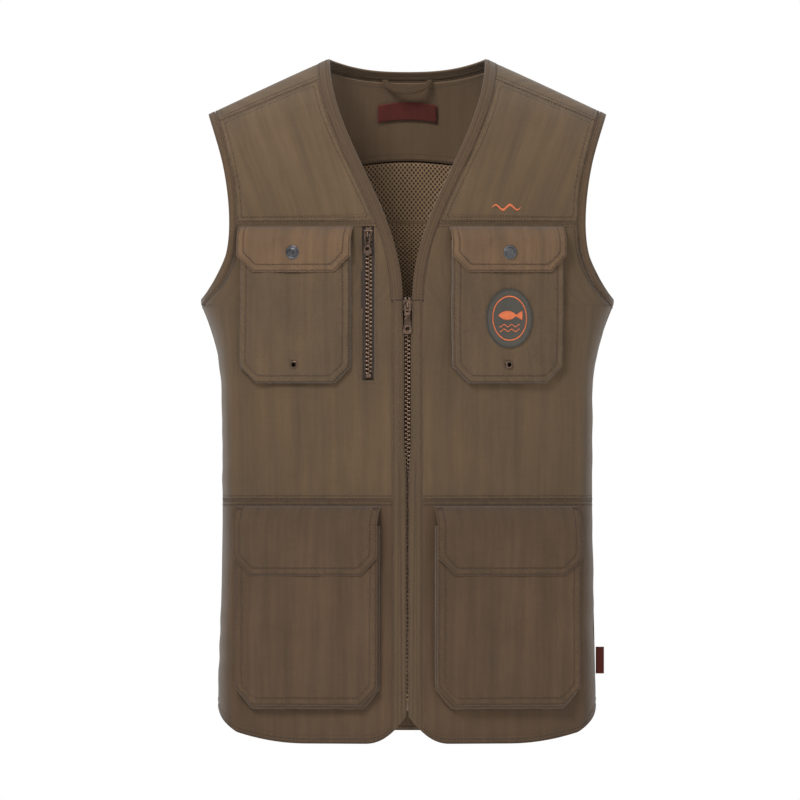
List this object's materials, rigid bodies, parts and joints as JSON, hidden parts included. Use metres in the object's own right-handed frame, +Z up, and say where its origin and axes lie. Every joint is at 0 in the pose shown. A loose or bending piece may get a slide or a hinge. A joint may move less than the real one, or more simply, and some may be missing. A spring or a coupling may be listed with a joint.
{
  "type": "fishing vest",
  "caption": "Sleeveless zip-front vest with snap-flap chest pockets, a zipped chest pocket, large flapped lower pockets and a net lining.",
  "frame": {"origin": "between the wearer's shoulders, level with the top of the neckline, on the middle plane of the shoulder ridge", "axes": "+Z up, -Y out of the front, -X towards the wearer's right hand"},
  "size_m": [0.45, 0.2396, 0.739],
  "materials": {
    "shell_cloth": "brown-olive woven microfibre, matt",
    "trim_cloth": "slightly redder brown woven cloth, matt",
    "lining_cloth": "dark brown plain lining",
    "mesh_cloth": "open brown net lining",
    "dark_metal": "dark bronze, brushed",
    "gunmetal": "dark grey enamelled",
    "zip_tape": "dark brown woven tape",
    "label_cloth": "maroon woven label",
    "badge_cloth": "grey embroidered patch"
  },
  "bodies": {
    "vest_body": {"front_skirt_right": "shell_cloth", "front_chest_right": "shell_cloth", "front_yoke_right": "shell_cloth", "placket_right": "trim_cloth", "armhole_binding_right": "trim_cloth", "front_skirt_left": "shell_cloth", "front_chest_left": "shell_cloth", "front_yoke_left": "shell_cloth", "placket_left": "trim_cloth", "armhole_binding_left": "trim_cloth", "neck_binding": "trim_cloth", "back_panel": "shell_cloth", "back_yoke": "shell_cloth", "neck_facing": "lining_cloth", "mesh_lining": "mesh_cloth", "main_zip_tape_right": "zip_tape", "main_zip_teeth_right": "dark_metal", "main_zip_top_stop_right": "dark_metal", "main_zip_tape_left": "zip_tape", "main_zip_teeth_left": "dark_metal", "main_zip_top_stop_left": "dark_metal", "main_zip_box": "dark_metal", "main_zip_pin": "dark_metal", "chest_pocket_right": "trim_cloth", "drain_eyelet_right": "dark_metal", "snap_stud_right": "dark_metal", "chest_pocket_left": "trim_cloth", "drain_eyelet_left": "dark_metal", "snap_stud_left": "dark_metal", "chest_badge": "badge_cloth", "lower_pocket_right": "trim_cloth", "loop_tape_right": "zip_tape", "lower_pocket_left": "trim_cloth", "loop_tape_left": "zip_tape", "chest_zip_tape_right": "zip_tape", "chest_zip_teeth_right": "dark_metal", "chest_zip_tape_left": "zip_tape", "chest_zip_teeth_left": "dark_metal", "chest_zip_bottom_stop": "dark_metal", "chest_zip_top_stop": "dark_metal", "chest_zip_bag": "lining_cloth", "neck_label": "label_cloth", "side_label": "label_cloth"},
    "main_slider": {"main_zip_slider": "dark_metal"},
    "main_pull": {"main_zip_pull": "dark_metal"},
    "chest_slider": {"chest_zip_slider": "dark_metal"},
    "chest_pull": {"chest_zip_pull": "dark_metal"},
    "chest_flap_body_right": {"chest_flap_right": "trim_cloth", "snap_cap_right": "gunmetal", "snap_socket_right": "dark_metal"},
    "chest_flap_body_left": {"chest_flap_left": "trim_cloth", "snap_cap_left": "gunmetal", "snap_socket_left": "dark_metal"},
    "lower_flap_body_right": {"lower_flap_right": "trim_cloth", "hook_tape_right": "zip_tape"},
    "lower_flap_body_left": {"lower_flap_left": "trim_cloth", "hook_tape_left": "zip_tape"},
    "loop_body": {"hanger_loop": "trim_cloth"}
  },
  "joints": [
    {"name": "main_zip_slide", "type": "slide", "parent": "vest_body", "child": "main_slider", "axis": [0, 0, 1], "range_m": [-0.419, 0]},
    {"name": "main_pull_swivel", "type": "hinge", "parent": "main_slider", "child": "main_pull", "pos_m": [0, -0.1192, -0.267], "axis": [-1, 0, 0], "range_deg": [0, 165]},
    {"name": "chest_zip_slide", "type": "slide", "parent": "vest_body", "child": "chest_slider", "axis": [0, 0, 1], "range_m": [-0.144, 0]},
    {"name": "chest_pull_swivel", "type": "hinge", "parent": "chest_slider", "child": "chest_pull", "pos_m": [-0.04279, -0.11208, -0.191], "axis": [-0.9563, 0.2924, 0], "range_deg": [0, 160]},
    {"name": "chest_flap_lift_right", "type": "hinge", "parent": "vest_body", "child": "chest_flap_body_right", "pos_m": [-0.12012, -0.08781, -0.182], "axis": [-0.9563, 0.2924, 0], "range_deg": [0, 120]},
    {"name": "chest_flap_lift_left", "type": "hinge", "parent": "vest_body", "child": "chest_flap_body_left", "pos_m": [0.10712, -0.09178, -0.182], "axis": [-0.9563, -0.2924, 0], "range_deg": [0, 120]},
    {"name": "lower_flap_lift_right", "type": "hinge", "parent": "vest_body", "child": "lower_flap_body_right", "pos_m": [-0.1066, -0.09194, -0.483], "axis": [-0.9563, 0.2924, 0], "range_deg": [0, 120]},
    {"name": "lower_flap_lift_left", "type": "hinge", "parent": "vest_body", "child": "lower_flap_body_left", "pos_m": [0.1066, -0.09194, -0.483], "axis": [-0.9563, -0.2924, 0], "range_deg": [0, 120]},
    {"name": "hanger_loop_lift", "type": "hinge", "parent": "vest_body", "child": "loop_body", "pos_m": [0, 0.0571, -0.02146], "axis": [-1, 0, 0], "range_deg": [0, 150]}
  ]
}
